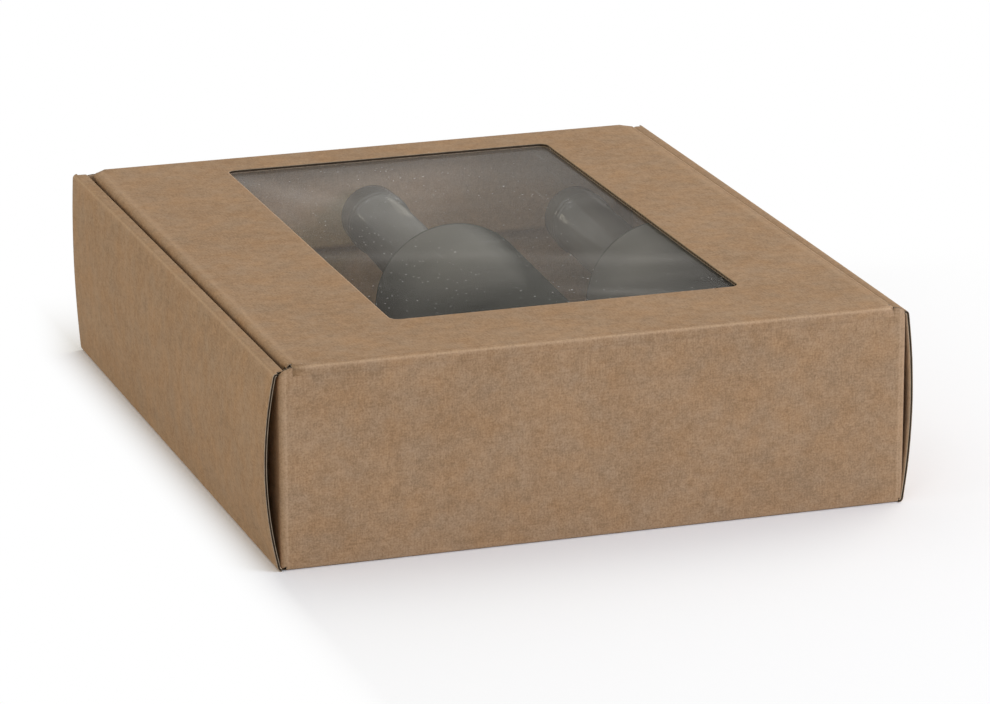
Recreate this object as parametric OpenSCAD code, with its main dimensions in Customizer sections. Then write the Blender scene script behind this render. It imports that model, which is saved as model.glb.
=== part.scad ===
// Gift box for three wine bottles, folded from kraft corrugated board.
// The lid is part of the same sheet as the hinge wall and has a window closed by a clear film.
// +X runs along the hinge wall, +Y from the hinge wall to the front wall, +Z up.
// The origin is on the ground under the middle of the box.

/* [Board] */
// Thickness of the corrugated board
board = 1.5; // [1:0.1:2]
// Outer radius of every fold
fold_r = 2; // [1.9:0.1:2.3]

/* [Bottle] */
// Diameter of a bottle's body
bottle_d = 72.6; // [66:0.2:80]
// Height of a bottle from its foot to its mouth
bottle_l = 300; // [285:1:315]
// Height at which the body ends and the shoulder begins
shoulder_s = 173; // [160:1:178]
// Length of the shoulder curve
shoulder_l = 35; // [28:1:45]
// Diameter of the neck where the shoulder ends
neck_d = 30; // [28:0.2:32]
// Diameter of the neck just under the ring
neck_top_d = 28; // [26.5:0.1:29]
// Diameter of the ring near the mouth
ring_d = 30.6; // [29.5:0.1:32]
// Height of the ring
ring_h = 7; // [5:0.5:9]
// Diameter of the lip
lip_d = 29.4; // [28.5:0.1:30]
// Height of the lip, from the top of the ring to the mouth
lip_h = 11; // [9:0.5:14]
// Diameter of the bore at the mouth
bore_d = 18.5; // [17.5:0.1:19.5]
// Depth over which the neck keeps the bore of the mouth
bore_l = 45; // [35:1:60]
// Thickness of the glass in the body
glass = 3; // [2.2:0.1:3.6]
// Height of the hollow under the foot
punt_h = 20; // [8:1:30]
// Radius of the hollow where it meets the foot ring
punt_r = 27; // [22:0.5:29]
// Radius of the rounded heel
heel_r = 4; // [2.5:0.5:5]

/* [Room in the box] */
// Distance between the axes of neighbouring bottles, at their feet
bottle_pitch = 92.7; // [88:0.1:100]
// Gap between an outer bottle and the inner side panel
side_room = 4.7; // [3.5:0.1:12]
// Length left over beyond a bottle
end_room = 27; // [24:0.5:40]
// Gap between the highest bottle and the film
head_room = 0.7; // [0.5:0.1:6]
// Gap under a bottle's heel
rest_gap = 0.3; // [0.2:0.05:0.4]

/* [Lie of the bottles] */
// Rise of the left bottle's mouth above its foot
left_lift = 15; // [8:0.1:16]
// Rise of the middle bottle's mouth above its foot, the highest of the three
middle_lift = 17.8; // [17:0.1:20]
// Rise of the right bottle's mouth above its foot
right_lift = 12.8; // [8:0.1:16]
// Gap from the hinge wall to the left bottle's foot
left_foot_gap = 8.5; // [4:0.5:12]
// Gap from the hinge wall to the middle bottle's foot
middle_foot_gap = 19.5; // [12:0.5:20]
// Gap from the hinge wall to the right bottle's foot
right_foot_gap = 3.3; // [3:0.1:12]
// Sideways turn of the outer bottles, mouths away from the middle
splay = 0.55; // [0:0.05:0.6]

/* [Walls] */
// Gap between the corner flap and the inner side panel
flap_gap = 0.8; // [0.4:0.1:1.5]
// Gap between the corner flap and the outer side panel
outer_gap = 0.2; // [0.2:0.1:1]
// Bow of the outer side panels at half height
side_bow = 2.6; // [1:0.1:4]
// Drop of the rolled side tops below the lid
roll_drop = 2; // [1.6:0.1:4]
// Drop of the front wall's edge below the lid
front_drop = 2.6; // [2.4:0.1:5]
// Length of the corner flaps
corner_flap_l = 52; // [30:1:75]
// Distance of a corner flap's edges from the floor and from the wall's top
corner_flap_inset = 3; // [2.5:0.5:8]
// Setback of the rolled side tops from the wall faces
roll_setback = 2.2; // [2:0.1:5]
// Rounding of the wall's upper corners
wall_corner_r = 4; // [2:0.5:6]
// Distance of each locking tab from the middle of the side
tab_y = 65; // [50:1:90]
// Length of a locking tab
tab_l = 30; // [20:1:40]
// Gap around a locking tab in its slot
tab_gap = 0.25; // [0.2:0.05:0.5]

/* [Lid] */
// Gap between the lid and the inner side panels
lid_side_gap = 0.9; // [0.5:0.1:2]
// Gap between the lid's tuck flap and the front wall
tuck_gap = 0.4; // [0.3:0.1:1.5]
// Length of the tuck flap
tuck_l = 45; // [30:1:48]
// Lean of the tuck flap away from the front wall
tuck_lean = 5; // [4.5:0.5:7]
// Distance of the tuck flap's ends from the lid's sides
tuck_inset = 7; // [4:0.5:15]
// Rounding of the tuck flap's lower corners
tuck_corner_r = 12; // [5:1:20]
// Depth of the lid's side flaps
wing_h = 22; // [15:1:26]
// Distance of a side flap's ends from the lid's folds
wing_inset = 6; // [4:0.5:15]
// Slope of a side flap's ends
wing_slope = 8; // [3:0.5:15]
// Cut across the lid's front corners
corner_cut = 4; // [2:0.5:8]
// Gap between the lid's hinge fold and the hinge wall
hinge_gap = 0.3; // [0.3:0.05:0.6]

/* [Window] */
// Width of the window
window_w = 155.5; // [120:0.5:180]
// Distance of the window from the hinge fold's outer face
window_hinge_margin = 51.5; // [48:0.5:60]
// Distance of the window from the lid's front edge
window_front_margin = 22.6; // [18:0.1:40]
// Shift of the window's middle towards +X
window_shift = 4.2; // [0:0.1:8]
// Corner radius of the window
window_r = 4; // [2:0.5:10]
// Thickness of the film
film_t = 0.3; // [0.2:0.05:0.5]
// Overlap of the film under the board
film_lap = 8; // [5:0.5:12]

/* [Hidden] */
// Slack that keeps cutting shapes from ending on a face
eps = 1;

// Where the bottles lie
bottle_r = bottle_d / 2;
function tilt(lift) = asin(lift / bottle_l);
function foot_z(lift) = board + rest_gap + bottle_r * cos(tilt(lift));
highest_bottle = foot_z(middle_lift) + shoulder_s * sin(tilt(middle_lift))
    + bottle_r * cos(tilt(middle_lift));

// The box is built round the bottles
inner_half_w = bottle_pitch + bottle_r + side_room;
panel_half_w = inner_half_w + board + flap_gap + board;
side_face = panel_half_w + outer_gap + board;
half_d = (bottle_l + end_room) / 2 + board;
box_h = highest_bottle + head_room + film_t + board;
roll_top = box_h - roll_drop;
front_top = box_h - front_drop;
hinge_top = box_h - fold_r - hinge_gap;
lid_half_w = inner_half_w - lid_side_gap;
lid_front = half_d - board - tuck_gap;

// The outer side panel is an arc that bows out by side_bow between its two folds
bow_half_h = (roll_top - 2 * fold_r) / 2;
bow_r = (bow_half_h * bow_half_h + side_bow * side_bow) / (2 * side_bow);
bow_x = side_face + side_bow - bow_r;
bow_z = roll_top / 2;

// Window edges
window_y = window_hinge_margin - half_d;
window_d = lid_front - window_front_margin - window_y;
kraft = [0.63, 0.50, 0.38];
dark_glass = [0.20, 0.24, 0.15, 0.8];
clear_film = [0.85, 0.86, 0.86, 0.3];

// A quarter of a fold seen end on, its centre at the origin, between +X and +Y
module fold_section() {
    intersection() {
        difference() {
            circle(r = fold_r, $fn = 48);
            circle(r = fold_r - board, $fn = 48);
        }
        square(fold_r + eps);
    }
}

// A flat outline drawn in X and Z, carried along Y between two places
module along_y(y0, y1) {
    translate([0, y1, 0])
        rotate([90, 0, 0])
            linear_extrude(height = y1 - y0)
                children();
}

// A flat outline drawn in Y and Z, carried along X between two places
module along_x(x0, x1) {
    translate([x0, 0, 0])
        rotate([90, 0, 90])
            linear_extrude(height = x1 - x0)
                children();
}

module both_sides() {
    children();
    mirror([1, 0, 0]) children();
}

module both_ends() {
    children();
    mirror([0, 1, 0]) children();
}

// Floor, bottom fold and bowed outer panel of the right side, seen from the end
module outer_panel_section() {
    translate([side_face - fold_r, fold_r])
        mirror([0, 1])
            fold_section();
    intersection() {
        translate([bow_x, bow_z])
            difference() {
                circle(r = bow_r, $fn = 360);
                circle(r = bow_r - board, $fn = 360);
            }
        translate([panel_half_w - side_bow, fold_r])
            square([3 * side_bow + 4 * board, 2 * bow_half_h]);
    }
}

// The top of the right side rolls over and comes down again as the inner panel
module rolled_section() {
    translate([side_face - fold_r, roll_top - fold_r])
        fold_section();
    translate([inner_half_w + fold_r, roll_top - board])
        square([side_face - inner_half_w - 2 * fold_r, board]);
    translate([inner_half_w + fold_r, roll_top - fold_r])
        mirror([1, 0])
            fold_section();
    translate([inner_half_w, board + tab_gap])
        square([board, roll_top - fold_r - board - tab_gap]);
}

module side() {
    along_y(roll_setback - half_d, half_d - roll_setback) {
        outer_panel_section();
        rolled_section();
    }
    along_y(-half_d, half_d)
        intersection() {
            outer_panel_section();
            translate([panel_half_w - side_bow, fold_r])
                square([3 * side_bow + 4 * board, 2 * bow_half_h]);
        }
    for (y = [-tab_y, tab_y])
        translate([inner_half_w, y - tab_l / 2, tab_gap])
            cube([board, tab_l, board + 2 * tab_gap]);
}

// Upright outline of an end wall, its upper corners rounded
module wall_outline(top) {
    difference() {
        translate([-panel_half_w, fold_r])
            square([2 * panel_half_w, top - fold_r]);
        for (s = [-1, 1])
            translate([s * panel_half_w, top])
                difference() {
                    square(2 * wall_corner_r, center = true);
                    translate([-s * wall_corner_r, -wall_corner_r])
                        circle(r = wall_corner_r, $fn = 48);
                }
    }
}

// End wall at -Y with its bottom fold and the corner flaps behind the side panels
module end_wall(top) {
    along_x(fold_r - panel_half_w, panel_half_w - fold_r)
        translate([fold_r - half_d, fold_r])
            rotate(180)
                fold_section();
    intersection() {
        along_y(-half_d - eps, fold_r - half_d)
            wall_outline(top);
        union() {
            translate([fold_r - panel_half_w, -half_d, fold_r])
                cube([2 * (panel_half_w - fold_r), board, top]);
            both_sides()
                translate([panel_half_w - fold_r, fold_r - half_d, fold_r])
                    linear_extrude(height = top)
                        mirror([0, 1])
                            fold_section();
        }
    }
    both_sides()
        translate([panel_half_w - board, fold_r - half_d, fold_r + corner_flap_inset])
            cube([board, corner_flap_l, top - fold_r - 2 * corner_flap_inset]);
}

module tray() {
    color(kraft) {
        difference() {
            translate([fold_r - side_face, fold_r - half_d, 0])
                cube([2 * (side_face - fold_r), 2 * (half_d - fold_r), board]);
            both_sides()
                for (y = [-tab_y, tab_y])
                    translate([inner_half_w - tab_gap, y - tab_l / 2 - tab_gap, -eps])
                        cube([board + 2 * tab_gap, tab_l + 2 * tab_gap, board + 2 * eps]);
        }
        both_sides() side();
        end_wall(hinge_top);
        mirror([0, 1, 0]) end_wall(front_top);
    }
}

// Hinge fold, panel and front fold, seen from the side
module lid_section() {
    translate([fold_r - half_d, box_h - fold_r])
        mirror([1, 0])
            fold_section();
    translate([fold_r - half_d, box_h - board])
        square([half_d + lid_front - 2 * fold_r, board]);
    translate([lid_front - fold_r, box_h - fold_r])
        front_fold_section();
}

// The front fold turns on by tuck_lean past the upright
module front_fold_section() {
    reach = 2 * fold_r;
    intersection() {
        difference() {
            circle(r = fold_r, $fn = 48);
            circle(r = fold_r - board, $fn = 48);
        }
        polygon([[0, 0], [reach * cos(tuck_lean), -reach * sin(tuck_lean)], [reach, reach], [0, reach]]);
    }
}

// One side flap of the lid, drawn in Y and Z
module wing_outline() {
    y0 = fold_r + wing_inset - half_d;
    y1 = lid_front - fold_r - wing_inset;
    top = box_h - fold_r;
    low = top - wing_h;
    polygon([[y0 + wing_slope, low], [y1 - wing_slope, low], [y1, top], [y0, top]]);
}

// Tuck flap drawn flat: X across the lid and Y down from the fold
module tuck_outline() {
    half = lid_half_w - tuck_inset;
    difference() {
        translate([-half, -tuck_l])
            square([2 * half, tuck_l]);
        for (s = [-1, 1])
            translate([s * half, -tuck_l])
                difference() {
                    square(2 * tuck_corner_r, center = true);
                    translate([-s * tuck_corner_r, tuck_corner_r])
                        circle(r = tuck_corner_r, $fn = 64);
                }
    }
}

module tuck_flap() {
    translate([0, lid_front - fold_r, box_h - fold_r])
        rotate([-tuck_lean, 0, 0])
            translate([0, fold_r, 0])
                rotate([90, 0, 0])
                    linear_extrude(height = board)
                        tuck_outline();
}

module window_outline(grow) {
    translate([window_shift - window_w / 2 - grow, window_y - grow])
        square([window_w + 2 * grow, window_d + 2 * grow]);
}

// The window's cut has rounded corners
module window_cut() {
    translate([window_shift, window_y + window_d / 2])
        difference() {
            square([window_w, window_d], center = true);
            for (sx = [-1, 1])
                for (sy = [-1, 1])
                    translate([sx * window_w / 2, sy * window_d / 2])
                        difference() {
                            square(2 * window_r, center = true);
                            translate([-sx * window_r, -sy * window_r])
                                circle(r = window_r, $fn = 48);
                        }
        }
}

module lid() {
    color(kraft) {
        difference() {
            union() {
                along_x(fold_r - lid_half_w, lid_half_w - fold_r)
                    lid_section();
                both_sides()
                    along_y(fold_r - half_d, lid_front - fold_r)
                        translate([lid_half_w - fold_r, box_h - fold_r])
                            fold_section();
            }
            translate([0, 0, box_h - board - eps])
                linear_extrude(height = board + 2 * eps)
                    window_cut();
            both_sides()
                translate([lid_half_w, lid_front, box_h - fold_r - eps])
                    rotate(-45)
                        cube([4 * corner_cut, sqrt(2) * corner_cut, 2 * (fold_r + eps)], center = true);
        }
        both_sides()
            along_x(lid_half_w - board, lid_half_w)
                wing_outline();
        tuck_flap();
    }
}

module window_film() {
    color(clear_film)
        translate([0, 0, box_h - board - film_t])
            linear_extrude(height = film_t)
                window_outline(film_lap);
}

// Half section of the glass: X is the radius and Y the height above the foot
ring_top = bottle_l - lip_h;
ring_foot = ring_top - ring_h;
neck_s = shoulder_s + shoulder_l;
punt_steps = 8;
curve_steps = 14;

// Radius of the shoulder's smooth fall from r0 to r1 at a share t of its length
function ease(r0, r1, t) = r0 + (r1 - r0) * (1 - cos(180 * t)) / 2;
// Dome of the punt, r wide and h high
function dome(r, h, z0) = [for (i = [0:punt_steps])
    let (a = 90 * i / punt_steps) [r * sin(a), z0 + h * cos(a)]];
function shoulder(r0, r1) = [for (i = [0:curve_steps])
    let (t = i / curve_steps) [ease(r0, r1, t), shoulder_s + shoulder_l * t]];
function heel(r, rr, z0) = [for (i = [0:4])
    let (a = 90 * i / 4) [r - rr + rr * sin(a), z0 + rr - rr * cos(a)]];
// Half-round ring round the neck
function ring_curve() = [for (i = [0:6])
    let (a = 180 * i / 6) [neck_top_d / 2 + (ring_d - neck_top_d) / 2 * sqrt(sin(a)),
        ring_foot + ring_h * (1 - cos(a)) / 2]];
lip_round = 1.5;
function lip_curve() = [for (i = [0:4])
    let (a = 90 * i / 4) [lip_d / 2 - lip_round + lip_round * cos(a), bottle_l - lip_round + lip_round * sin(a)]];
neck_inner_r = neck_d / 2 - glass - 0.5;
outside = concat(dome(punt_r, punt_h, 0), heel(bottle_r, heel_r, 0), shoulder(bottle_r, neck_d / 2),
    ring_curve(), [[lip_d / 2, ring_top + 1.5]], lip_curve());
inside = concat(dome(punt_r, punt_h, glass + 1), heel(bottle_r - glass, heel_r, glass + 1),
    shoulder(bottle_r - glass, neck_inner_r),
    [[neck_inner_r, bottle_l - bore_l - 6], [bore_d / 2, bottle_l - bore_l], [bore_d / 2, bottle_l]]);
function reversed(list) = [for (i = [len(list) - 1:-1:0]) list[i]];

module bottle(x, foot_gap, lift, turn) {
    color(dark_glass)
        translate([x, board + foot_gap - half_d, foot_z(lift)])
            rotate([tilt(lift) - 90, 0, -turn])
                rotate_extrude($fn = 96)
                    polygon(concat(outside, reversed(inside)));
}

module left_bottle() {
    bottle(-bottle_pitch, left_foot_gap, left_lift, -splay);
}

module middle_bottle() {
    bottle(0, middle_foot_gap, middle_lift, 0);
}

module right_bottle() {
    bottle(bottle_pitch, right_foot_gap, right_lift, splay);
}

tray();
lid();
window_film();
left_bottle();
middle_bottle();
right_bottle();
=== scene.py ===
import math

import bpy
import numpy as np
from mathutils import Matrix, Vector


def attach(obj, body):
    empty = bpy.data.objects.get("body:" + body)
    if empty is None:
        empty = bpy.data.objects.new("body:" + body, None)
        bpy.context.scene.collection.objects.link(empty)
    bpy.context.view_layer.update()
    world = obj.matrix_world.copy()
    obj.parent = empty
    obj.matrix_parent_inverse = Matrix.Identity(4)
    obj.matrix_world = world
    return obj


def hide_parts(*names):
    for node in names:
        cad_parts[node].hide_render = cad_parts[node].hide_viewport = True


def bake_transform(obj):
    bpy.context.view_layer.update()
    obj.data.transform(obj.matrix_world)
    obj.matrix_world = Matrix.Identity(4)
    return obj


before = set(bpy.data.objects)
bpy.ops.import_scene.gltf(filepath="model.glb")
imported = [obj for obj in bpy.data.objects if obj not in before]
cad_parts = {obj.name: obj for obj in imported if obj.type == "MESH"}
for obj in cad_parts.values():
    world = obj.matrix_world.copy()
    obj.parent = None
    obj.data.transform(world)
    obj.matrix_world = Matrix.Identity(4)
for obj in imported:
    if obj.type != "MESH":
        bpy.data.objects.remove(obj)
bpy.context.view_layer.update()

# Sizes in millimetres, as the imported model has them; MM turns them into metres
MM = 0.001

# Board: its own and one liner's thickness, its folds' outer radius, and how far its hollow is drawn back
BOARD = 1.5
LINER = 0.28
FOLD_R = 2.0
RAW_EDGE_DEPTH = 0.5

# Tray
WALL_X = 137.5
FLOOR_X = 137.2
FLAT_X = WALL_X - FOLD_R
SIDE_X = 139.2
INNER_X = 133.7
HALF_D = 165.0
FLAT_Y = HALF_D - FOLD_R
ROLL_TOP = 85.037
FRONT_TOP = 84.437
FRONT_ROUND = 7.0
EAR_X = 131.6
SLOT_INNER = 133.45
SLOT_ENDS = (49.75, 80.25)
TAB_ENDS = (51.5, 78.5)
TAB_LOW = 0.25
INNER_LOW = 1.75
FLAP_END = 111.0
FLAP_INSET = 3.0
FLAP_TRIM = 5.0
CORNER_DIP = 1.2

# Lid, and the strip of board that bends between it and the tray
LID_TOP = 87.037
LID_HALF = 132.8
LID_FLAT_X = LID_HALF - FOLD_R
LID_FRONT_Y = 161.1
CORNER_CUT = 4.0
SAG_SPREAD = 26000.0
CREASE_FOOT = 83.0
CREASE_HEAD = -162.0
CREASE_HALF = 131.57
SEAM_ROW = 0.03
TUCK_HALF = 125.2
TUCK_LENGTH = 45.0
TUCK_CORNER = 12.0
TUCK_LEAN = math.radians(5)
WING_DEPTH = 22.0
WING_ENDS = (-157.0, 155.1)
WING_SLOPE = 8.0

# Window and film: left, right, near and far edges
WINDOW = (-73.55, 81.95, -113.5, 140.5)
WINDOW_R = 4.0
FILM = (-81.55, 89.95, -121.5, 148.5)
FILM_THICK = 0.12
FILM_DROP = 0.03

# Rays that see the white floor and backdrop as they are
STRAIGHT_RAYS = ("Is Camera Ray", "Is Glossy Ray", "Is Transmission Ray")


# Node trees

class Value:
    """A socket that Python's operators can work on; each one adds a Math node."""

    def __init__(self, graph, socket):
        self.graph = graph
        self.socket = socket

    def math(self, operation, first, second=0.0):
        return self.graph.add("ShaderNodeMath", {"operation": operation}, {0: first, 1: second})

    def __add__(self, other):
        return self.math("ADD", self, other)

    __radd__ = __add__

    def __sub__(self, other):
        return self.math("SUBTRACT", self, other)

    def __rsub__(self, other):
        return self.math("SUBTRACT", other, self)

    def __mul__(self, other):
        return self.math("MULTIPLY", self, other)

    __rmul__ = __mul__

    def __truediv__(self, other):
        return self.math("DIVIDE", self, other)

    def beside(self, name):
        """Another output of the same node."""
        return Value(self.graph, self.socket.node.outputs[name])

    def clamp(self):
        return self.graph.add("ShaderNodeClamp", {}, {"Value": self})

    def ramp(self, low, high, start=0.0, end=1.0):
        """Start below low, end above high, and straight between them."""
        sockets = {"Value": self, "From Min": low, "From Max": high, "To Min": start, "To Max": end}
        return self.graph.add("ShaderNodeMapRange", {"clamp": True}, sockets)


class Graph:
    """A node tree that is filled by one method."""

    def __init__(self, tree):
        self.tree = tree

    def add(self, kind, settings=None, sockets=None, out=0):
        """A node with its settings, then its sockets' values or links; gives the output that out names."""
        node = self.tree.nodes.new(kind)
        for name, value in (settings or {}).items():
            setattr(node, name, value)
        for name, value in (sockets or {}).items():
            if isinstance(value, Value):
                self.tree.links.new(value.socket, node.inputs[name])
            else:
                node.inputs[name].default_value = value
        return Value(self, node.outputs[out]) if len(node.outputs) else None

    def mix(self, factor, first, second):
        """Blend of two colours; that node's colour sockets go by number, because its names repeat."""
        return self.add("ShaderNodeMix", {"data_type": "RGBA"}, {0: factor, 6: first, 7: second}, out=2)

    def noise(self, place, scale, detail, roughness, stretch=None):
        if stretch:
            place = self.add("ShaderNodeMapping", {}, {"Vector": place, "Scale": stretch})
        sockets = {"Vector": place, "Scale": scale, "Detail": detail, "Roughness": roughness}
        return self.add("ShaderNodeTexNoise", {}, sockets)

    def any_ray(self, *names):
        """1 where the ray is one of the kinds named."""
        light_path = self.add("ShaderNodeLightPath")
        kinds = [light_path.beside(name) for name in names]
        return sum(kinds[1:], kinds[0]).clamp()

    def attribute(self, name, out):
        """A named value kept on the mesh."""
        return self.add("ShaderNodeAttribute", {"attribute_name": name}, out=out)

    def place(self):
        """The object's own coordinates, as one vector."""
        return self.add("ShaderNodeTexCoord", out="Object")

    def coordinates(self):
        """The object's own x and y."""
        x = self.add("ShaderNodeSeparateXYZ", {}, {"Vector": self.place()})
        return x, x.beside("Y")

    def specks(self, place, scale, rarity, core, reach):
        """Round spots in a few of the cells of a Voronoi texture."""
        sockets = {"Vector": place, "Scale": scale, "Randomness": 1.0}
        near = self.add("ShaderNodeTexVoronoi", {"feature": "F1"}, sockets)
        return near.ramp(core, reach, 1.0, 0.0) * near.beside("Color").ramp(rarity, rarity + 0.2)

    def bump(self, height, strength, distance):
        sockets = {"Height": height, "Strength": strength, "Distance": distance}
        return self.add("ShaderNodeBump", {}, sockets)


def new_finish(name):
    material = bpy.data.materials.new(name)
    material.use_nodes = True
    material.node_tree.nodes.clear()
    return material, Graph(material.node_tree)


def close_finish(graph, shader):
    graph.add("ShaderNodeOutputMaterial", {}, {"Surface": shader})


def grey(level):
    return (level, level, level, 1.0)


def tinted(colour, tint):
    """A colour with each of its channels multiplied by the tint's."""
    return (colour[0] * tint[0], colour[1] * tint[1], colour[2] * tint[2], 1.0)


# What turns the board's colours into those of its drifts, flecks and pale folds, which are partly rubbed and
# partly a painted highlight
WARM = (1.03, 0.985, 0.91)
COOL = (0.97, 1.01, 1.05)
DARK_FLECK = (0.55, 0.50, 0.45)
PALE_FLECK = (1.15, 1.18, 1.20)
RUBBED_AND_LIT = (1.30, 1.36, 1.42)
KRAFT_SHINE = 0.10
FLUTE_PITCH = 3.3


def kraft_finish(name, base, light, dark, speckle, ribs):
    """Brown liner paper: cloudy tone, speckle, fibres, flecks, pale folds that are partly worn and partly a
    painted highlight, and the flutes' faint ribs.
    """
    material, g = new_finish(name)
    flat = g.attribute("flat", "Vector")
    worn = g.attribute("worn", "Fac")
    cloud = g.noise(flat, 26, 4, 0.6)
    blotch = g.noise(flat, 165, 3, 0.6)
    mottle = g.noise(flat, 430, 3, 0.65)
    grain = g.noise(flat, 1150, 2, 0.6)
    long_fibre = g.noise(flat, 1500, 2, 0.5, (1.0, 0.14, 1.0))
    cross_fibre = g.noise(flat, 1300, 2, 0.5, (0.16, 1.0, 1.0))
    fleck = g.noise(flat, 700, 1, 0.4, (1.0, 0.45, 1.0))
    pale_fleck = g.noise(flat, 520, 1, 0.4, (0.5, 1.0, 1.0))
    fine_tone = ((blotch - 0.5) * 0.9 + (mottle - 0.5) * 0.95 + (grain - 0.5) * 1.6
                 + (long_fibre - 0.5) * 0.7 + (cross_fibre - 0.5) * 0.5)
    tone = 0.5 + (cloud - 0.5) * 0.7 + fine_tone * speckle
    drift = g.noise(flat, 70, 3, 0.6).ramp(0.32, 0.68)
    low_tone = g.mix(drift, tinted(dark, WARM), tinted(dark, COOL))
    high_tone = g.mix(drift, tinted(light, WARM), tinted(light, COOL))
    colour = g.mix(tone.ramp(0.0, 1.0), low_tone, high_tone)
    colour = g.mix(fleck.ramp(0.69, 0.78, 0.0, 0.35), colour, tinted(base, DARK_FLECK))
    colour = g.mix(pale_fleck.ramp(0.7, 0.8, 0.0, 0.3), colour, tinted(light, PALE_FLECK))
    # Pale folds: partly wear, partly a painted highlight where a fold catches the light
    scuff_and_highlight = (worn * (0.55 + grain.ramp(0.35, 0.62) * 0.45)).clamp()
    colour = g.mix(scuff_and_highlight * 0.72, colour, tinted(light, RUBBED_AND_LIT))
    along = g.add("ShaderNodeSeparateXYZ", {}, {"Vector": flat}, out="Y")
    rib = along.math("SINE", along * (2 * math.pi / (FLUTE_PITCH * MM)))
    height = (rib * ribs + (mottle - 0.5) * 0.3 + (grain - 0.5) * 0.35
              + (long_fibre - 0.5) * 0.2 + (blotch - 0.5) * 0.8 + (cloud - 0.5) * 1.2)
    shader = g.add("ShaderNodeBsdfPrincipled", {}, {
        "Base Color": colour,
        "Roughness": grain.ramp(0.3, 0.7, 0.66, 0.82),
        "Specular IOR Level": KRAFT_SHINE,
        "Normal": g.bump(height, 0.3, 0.00012),
    })
    close_finish(g, shader)
    return material


def torn_paper_finish(name, light, dark, scale):
    """The raw edge of a sheet of paper, with its fibres showing."""
    material, g = new_finish(name)
    place = g.place()
    fibre = g.noise(place, scale, 3, 0.7)
    tuft = g.noise(place, scale * 0.22, 2, 0.5)
    colour = g.mix((fibre * 0.6 + tuft * 0.4).ramp(0.32, 0.68), dark, light)
    shader = g.add("ShaderNodeBsdfPrincipled", {}, {
        "Base Color": colour,
        "Roughness": fibre.ramp(0.3, 0.7, 0.8, 0.95),
        "Specular IOR Level": 0.2,
        "Normal": g.bump(fibre, 0.5, 0.0001),
    })
    close_finish(g, shader)
    return material


def film_finish(name):
    """Clear film with a pale haze, partly real and partly painted light that is paler towards the far edge and
    less at the left, soft folds, a painted sheen that grows at a slant, specks and hairs.
    """
    material, g = new_finish(name)
    place = g.place()
    haze = g.noise(place, 13, 2, 0.5, (0.55, 1.0, 1.0))
    streak = g.noise(place, 17, 2, 0.5, (0.35, 1.7, 1.0))
    crowd = g.noise(place, 20, 2, 0.5).ramp(0.42, 0.66)
    specks = g.specks(place, 300.0, 0.30, 0.05, 0.16) * (0.45 + crowd * 0.55)
    big_specks = g.specks(place, 110.0, 0.50, 0.03, 0.07)
    scratch_a = g.noise(place, 150, 2, 0.4, (0.06, 1.6, 1.0))
    scratch_b = g.noise(place, 170, 2, 0.4, (1.3, 0.08, 1.0))
    lines = scratch_a.ramp(0.69, 0.75) + scratch_b.ramp(0.70, 0.76)
    marks = (specks * 0.9 + big_specks + lines * 0.10).clamp()
    sheen = g.add("ShaderNodeFresnel", {}, {"IOR": 1.15})
    x, y = g.coordinates()
    sway = (haze - 0.5) * 0.03

    def fold(across_x, across_y, middle, half_width):
        """A soft pale line across the film, 1 in its middle; places are in metres."""
        off = x * across_x + y * across_y + sway - middle
        return (1.0 - off.math("ABSOLUTE", off) / half_width).ramp(0.0, 1.0)

    folds = (fold(0.93, 0.37, -0.013, 0.018) * y.ramp(0.03, 0.09) * 0.075
             + fold(0.35, 0.94, -0.032, 0.014) * 0.05
             + fold(0.43, 0.90, -0.073, 0.009) * x.ramp(0.0, 0.03) * 0.06)
    # Painted light and shade in the haze's share: it grows towards the far edge to brighten the dim inside,
    # and falls at the left to tone down the left lamp's reflection
    haze_and_painted_light = (y.ramp(-0.11, 0.08, 0.030, 0.105) - x.ramp(-0.08, -0.02, 0.05, 0.0)
            + haze.ramp(0.35, 0.7, 0.0, 0.03) + streak.ramp(0.45, 0.72, 0.0, 0.035) + folds)
    outside = 1.0 - g.add("ShaderNodeNewGeometry", out="Backfacing")
    share = (haze_and_painted_light + sheen * 0.55 + marks * 0.5).clamp() * outside
    shader = g.add("ShaderNodeBsdfPrincipled", {}, {
        "Base Color": g.mix(marks, (0.55, 0.515, 0.47, 1), (0.80, 0.79, 0.77, 1)),
        "Roughness": (0.10 + haze * 0.1 + marks * 0.4).clamp(),
        "Normal": g.bump(haze * 0.7 + streak * 0.5, 0.2, 0.0004),
    })
    clear = g.add("ShaderNodeBsdfTransparent", {}, {"Color": (0.97, 0.972, 0.97, 1)})
    close_finish(g, g.add("ShaderNodeMixShader", {}, {0: share, 1: clear, 2: shader}))
    return material


# Near black, painted where the glass lies in shade
GLASS_SHADE = (0.008, 0.011, 0.007, 1)


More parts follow.
